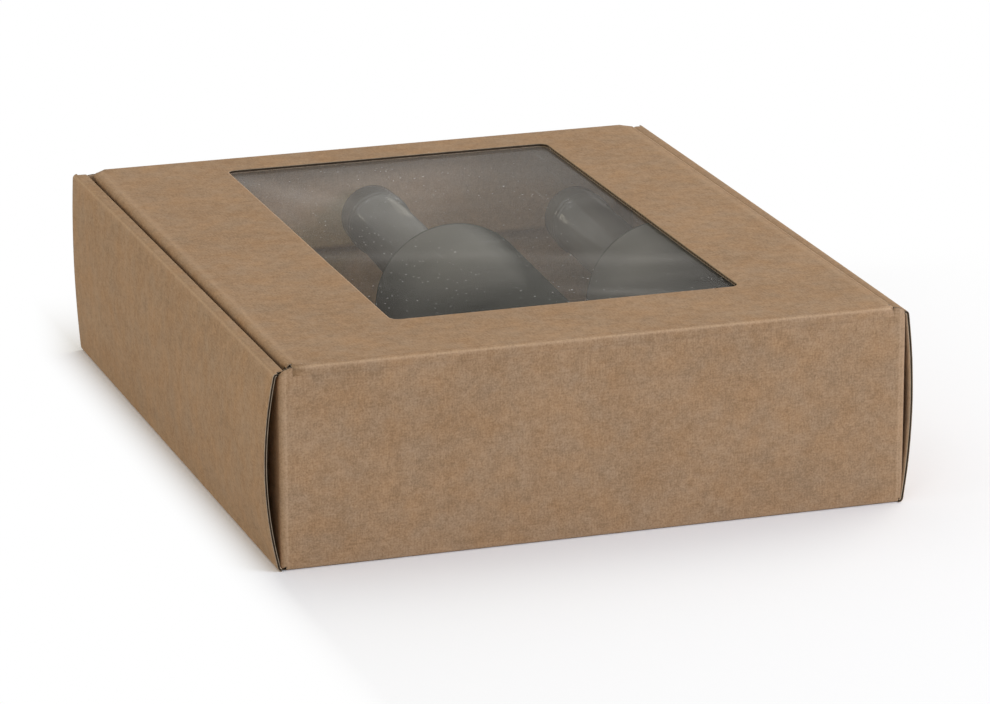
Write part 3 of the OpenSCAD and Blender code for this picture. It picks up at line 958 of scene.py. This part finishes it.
def lid_flute_paths():
    """Along the window's left and right edges, the side flaps' lower edges and the tuck flap's ends."""
    middle = LID_TOP - BOARD / 2
    left, right, near, far = WINDOW
    paths = []
    for x, into in ((left - FLUTE_INSET, -1.0), (right + FLUTE_INSET, 1.0)):
        line = [(x, y, middle + lid_wave(x, y)) for y in spaced(near + WINDOW_R, far - WINDOW_R, 8.0)]
        paths.append((line, (0.0, 0.0, 1.0), (into, 0.0, 0.0)))
    low = LID_TOP - FOLD_R - WING_DEPTH + FLUTE_INSET
    for side in (-1, 1):
        x = side * (LID_HALF - BOARD / 2)
        ends = (WING_ENDS[0] + WING_SLOPE + 1, WING_ENDS[1] - WING_SLOPE - 1)
        paths.append(([(x, y, low) for y in spaced(*ends, 20.0)], (side, 0.0, 0.0), (0.0, 0.0, 1.0)))
    for side in (-1, 1):
        start = Vector(TUCK_START) - TUCK_OUT * (BOARD / 2) + Vector((side * (TUCK_HALF - FLUTE_INSET), 0, 0))
        line = [start + TUCK_DOWN * reach for reach in spaced(1.5, TUCK_LENGTH - TUCK_CORNER - 0.5, 6.0)]
        paths.append((line, tuple(TUCK_OUT), (-side, 0.0, 0.0)))
    return paths


def tray_flute_paths():
    """Along the ends of the corner flaps."""
    paths = []
    for end, top in ((-1, 77.0), (1, 76.0)):
        for side in (-1, 1):
            x = side * (WALL_X - BOARD / 2)
            zs = spaced(FOLD_R + FLAP_INSET + 6, top - 1.5, 10.0)
            line = [(x, end * (FLAP_END + FLUTE_INSET), z) for z in zs]
            paths.append((line, (side, 0.0, 0.0), (0.0, end, 0.0)))
    return paths


# Window film

def build_film():
    """The film glued under the lid, a little slack inside the window."""
    left, right, near, far = FILM
    xs, ys = spaced(left, right, 4.0), spaced(near, far, 4.5)
    top_z = LID_TOP - BOARD - FILM_DROP

    def slack(x, y):
        wl, wr, wn, wf = WINDOW
        inside = max(0.0, min(x - wl, wr - x, y - wn, wf - y))
        free = min(1.0, inside / 30.0)
        wave = 0.5 + 0.28 * math.sin(y * 0.052 + x * 0.012) + 0.22 * math.sin(y * 0.115 - x * 0.02 + 1.3)
        return -0.34 * free * wave

    points, faces = [], []
    for drop in (0.0, FILM_THICK):
        for y in ys:
            for x in xs:
                points.append((x, y, top_z + lid_wave(x, y) + slack(x, y) - drop))
    wide, deep = len(xs), len(ys)
    layer = wide * deep
    for j in range(deep - 1):
        for i in range(wide - 1):
            a = j * wide + i
            faces.append([a, a + 1, a + wide + 1, a + wide])
            faces.append([layer + a + wide, layer + a + wide + 1, layer + a + 1, layer + a])
    rim = (list(range(wide)) + [j * wide + wide - 1 for j in range(1, deep)]
           + [layer - 1 - i for i in range(1, wide)] + [(deep - 1 - j) * wide for j in range(1, deep - 1)])
    for a, b in zip(rim, rim[1:] + rim[:1]):
        faces.append([a, a + layer, b + layer, b])
    return new_object("window_sheet", points, faces, [CLEAR_FILM])


# Bottles

BOTTLE_R = 36.3
BOTTLE_L = 300.0
GLASS = 3.0
HEEL_R = 4.0
LIP_R = 14.7
LIP_ROUND = 1.5
ROUND_STEPS = 96

# Start and length of the shoulder, and the neck's radius below the ring and above it
SHOULDER = (173.0, 35.0)
NECK_R = (15.0, 14.0)

# Start, height and radius of the mouth's ring
RING = (282.0, 7.0, 15.3)

# Radius and depth of the bore, and radius and height of the hollow foot
BORE = (9.25, 45.0)
PUNT = (27.0, 20.0)

# Each bottle's place across the box, its foot's gap to the hinge wall, its mouth's lift and its turn
BOTTLES = {
    "left_bottle": (-92.7, 8.5, 15.0, -0.55),
    "middle_bottle": (0.0, 19.5, 17.8, 0.0),
    "right_bottle": (92.7, 3.3, 12.8, 0.55),
}


def bottle_outline():
    """Half section of the glass, from the middle of the foot up the outside and back down the inside, and the
    count of its points that are outside."""
    def quarter(count):
        return np.linspace(0, math.pi / 2, count)

    def dome(radius, rise, foot):
        return [(radius * math.sin(a), foot + rise * math.cos(a)) for a in quarter(12)]

    def heel(radius, bend, foot):
        return [(radius - bend + bend * math.sin(a), foot + bend - bend * math.cos(a)) for a in quarter(7)]

    def shoulder(wide, narrow):
        start, length = SHOULDER
        return [(wide + (narrow - wide) * (1 - math.cos(math.pi * t)) / 2, start + length * t)
                for t in np.linspace(0, 1, 22)]

    ring_foot, ring_h, ring_r = RING
    ring_top = ring_foot + ring_h
    ring = [(NECK_R[1] + (ring_r - NECK_R[1]) * abs(math.sin(2 * math.pi * t)) ** 0.6, ring_foot + ring_h * t)
            for t in np.linspace(0, 1, 25)]
    lip = [(LIP_R - LIP_ROUND + LIP_ROUND * math.cos(a), BOTTLE_L - LIP_ROUND + LIP_ROUND * math.sin(a))
           for a in quarter(6)]
    body = [(BOTTLE_R, z) for z in np.linspace(20, 160, 8)]
    outside = dome(*PUNT, 0) + heel(BOTTLE_R, HEEL_R, 0) + body + shoulder(BOTTLE_R, NECK_R[0])
    outside += ring + [(LIP_R, ring_top + 1.5)] + lip
    inner_r = BOTTLE_R - GLASS
    neck_in = NECK_R[0] - GLASS - 0.5
    bore_r, bore_l = BORE
    inner_body = [(inner_r, z) for z in np.linspace(24, 160, 8)]
    bore = [(neck_in, BOTTLE_L - bore_l - 6), (bore_r, BOTTLE_L - bore_l), (bore_r, BOTTLE_L - 1.2)]
    inside = dome(*PUNT, GLASS + 1) + heel(inner_r, HEEL_R, GLASS + 1) + inner_body
    inside += shoulder(inner_r, neck_in) + bore + [(bore_r + 1.0, BOTTLE_L)]
    return outside + inside[::-1], len(outside)


def build_bottle(node):
    """A bottle turned from its outline and laid in the tray; its ring field is 1 round its mouth."""
    x, foot_gap, lift, turn = BOTTLES[node]
    around = [2 * math.pi * k / ROUND_STEPS for k in range(ROUND_STEPS)]
    outline, outside_count = bottle_outline()
    points, faces, rings, ring_marks = [], [], [], []
    for row, (radius, height) in enumerate(outline):
        marked = float(row < outside_count and height > RING[0] - 1)
        if radius < 1e-6:
            rings.append([len(points)] * ROUND_STEPS)
            points.append((0.0, 0.0, height))
            ring_marks.append(marked)
        else:
            ring_marks += [marked] * ROUND_STEPS
            rings.append([len(points) + k for k in range(ROUND_STEPS)])
            points += [(radius * math.cos(a), radius * math.sin(a), height) for a in around]
    for low, high in zip(rings, rings[1:]):
        for k in range(ROUND_STEPS):
            after = (k + 1) % ROUND_STEPS
            quad = [low[k], low[after], high[after], high[k]]
            faces.append([v for n, v in enumerate(quad) if v not in quad[:n]])
    tilt = math.asin(lift / BOTTLE_L)
    foot_z = BOARD + 0.3 + BOTTLE_R * math.cos(tilt)
    lie = (Matrix.Translation((x, BOARD + foot_gap - HALF_D, foot_z))
           @ Matrix.Rotation(math.radians(-turn), 4, "Z") @ Matrix.Rotation(tilt - math.pi / 2, 4, "X"))
    placed = [tuple(lie @ Vector(p)) for p in points]
    return new_object(node + "_glass", placed, faces, [OLIVE_GLASS], fields={"ring": ring_marks})


# Pieces on their bodies

tray = build_tray()
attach(tray, "box")
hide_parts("tray")

tray_flutes = grow_flutes("tray_flutes", tray_flute_paths())
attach(tray_flutes, "box")

lid = build_lid()
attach(lid, "lid")
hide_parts("lid")

lid_flutes = grow_flutes("lid_flutes", lid_flute_paths())
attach(lid_flutes, "lid")

film = build_film()
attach(film, "lid")
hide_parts("window_film")

for bottle_node in BOTTLES:
    bottle = build_bottle(bottle_node)
    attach(bottle, "box")
    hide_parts(bottle_node)

crease = build_crease()
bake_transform(crease)


# Floor, light and camera

# Metres from the box's outline over which the floor clears to white, on each side of it
BOX_HALF_X = 0.140
BOX_HALF_Y = 0.165
CLEARS_LEFT = (0.0, 0.022)
CLEARS_RIGHT = (0.0, 0.30)
CLEARS_NEAR = (0.02, 0.60)
CLEARS_FAR = (0.0, 0.10)
FLOOR_HALF = 9000.0
FLOOR_Z = -0.05


def build_floor():
    """White studio floor: it keeps the shadow near the box and clears to plain white further out."""
    material, g = new_finish("studio_floor")
    x, y = g.coordinates()
    out_left = (-1.0 * x - BOX_HALF_X).ramp(*CLEARS_LEFT)
    out_right = (x - BOX_HALF_X).ramp(*CLEARS_RIGHT)
    out_near = (-1.0 * y - BOX_HALF_Y).ramp(*CLEARS_NEAR)
    out_far = (y - BOX_HALF_Y).ramp(*CLEARS_FAR)
    clear = (out_left + out_right + out_near + out_far).clamp()
    matte = g.add("ShaderNodeBsdfDiffuse", {}, {"Color": grey(0.88)})
    shown = g.add("ShaderNodeBsdfDiffuse", {}, {"Color": (0.955, 0.97, 1.0, 1)})
    white = g.add("ShaderNodeEmission", {}, {"Color": grey(1.0), "Strength": 1.0})
    shown = g.add("ShaderNodeMixShader", {}, {0: clear * (2.0 - clear), 1: shown, 2: white})
    close_finish(g, g.add("ShaderNodeMixShader", {}, {0: g.any_ray(*STRAIGHT_RAYS), 1: matte, 2: shown}))
    corners = ((-1, -1), (1, -1), (1, 1), (-1, 1))
    points = [(FLOOR_HALF * across, FLOOR_HALF * along, FLOOR_Z) for across, along in corners]
    floor = new_object("studio_floor", points, [[0, 1, 2, 3]], [material])


def build_world():
    """A soft even light, with a backdrop that the camera, gloss and glass see as white."""
    world = bpy.data.worlds.new("studio")
    world.use_nodes = True
    world.node_tree.nodes.clear()
    bpy.context.scene.world = world
    g = Graph(world.node_tree)
    soft = g.add("ShaderNodeBackground", {}, {"Color": (1, 0.98, 0.93, 1), "Strength": 0.55})
    white = g.add("ShaderNodeBackground", {}, {"Color": (1, 1, 1, 1), "Strength": 1.0})
    surface = g.add("ShaderNodeMixShader", {}, {0: g.any_ray(*STRAIGHT_RAYS), 1: soft, 2: white})
    g.add("ShaderNodeOutputWorld", {}, {"Surface": surface})


# Each lamp's place, target, size, power in watts and colour
LAMPS = {
    "key": ((1.6, 0.7, 1.7), (0, 0, 0.05), (1.6, 1.6), 16.0, (1.0, 0.92, 0.76)),
    "front_fill": ((1.8, -1.35, 1.0), (0, 0, 0.05), (1.2, 1.0), 30.0, (0.93, 0.985, 1.16)),
    "left_fill": ((-2.6, 0.0, 0.7), (0, 0, 0.05), (1.4, 1.2), 14.5, (1.0, 0.89, 0.68)),
    "glint": ((-0.9, -1.5, 1.9), (0, 0.15, 0.07), (0.5, 0.25), 3.0, (1, 1, 1)),
}

# The camera's place, the way it looks in degrees, and its lens in millimetres
CAMERA_PLACE = (-0.68153, -2.07215, 0.69920)
CAMERA_AZIMUTH = 18.451
CAMERA_ELEVATION = 16.990
CAMERA_ROLL = -0.154
CAMERA_LENS = 186.5


def add_lamp(name, place, target, size, power, colour):
    light = bpy.data.lights.new(name, "AREA")
    light.color = colour
    light.shape = "RECTANGLE"
    light.size, light.size_y = size
    light.energy = power
    lamp = bpy.data.objects.new(name, light)
    bpy.context.scene.collection.objects.link(lamp)
    lamp.location = place
    lamp.visible_transmission = False
    lamp.rotation_euler = (Vector(target) - Vector(place)).to_track_quat("-Z", "Y").to_euler()


def build_camera():
    azimuth, elevation, roll = (math.radians(a) for a in (CAMERA_AZIMUTH, CAMERA_ELEVATION, CAMERA_ROLL))
    level = math.cos(elevation)
    ahead = Vector((math.sin(azimuth) * level, math.cos(azimuth) * level, -math.sin(elevation)))
    right = Vector((math.cos(azimuth), -math.sin(azimuth), 0.0))
    up = right.cross(ahead)
    turned_right = right * math.cos(roll) + up * math.sin(roll)
    turned_up = up * math.cos(roll) - right * math.sin(roll)
    camera = bpy.data.cameras.new("camera")
    camera.sensor_width = 36.0
    camera.sensor_fit = "HORIZONTAL"
    camera.lens = CAMERA_LENS
    camera.clip_end = 50.0
    holder = bpy.data.objects.new("camera", camera)
    bpy.context.scene.collection.objects.link(holder)
    basis = Matrix((turned_right, turned_up, -ahead)).transposed().to_4x4()
    holder.matrix_world = Matrix.Translation(CAMERA_PLACE) @ basis
    bpy.context.scene.camera = holder


build_floor()
build_world()
for lamp_name, lamp_values in LAMPS.items():
    add_lamp(lamp_name, *lamp_values)
build_camera()
bpy.context.scene.view_settings.view_transform = "Standard"
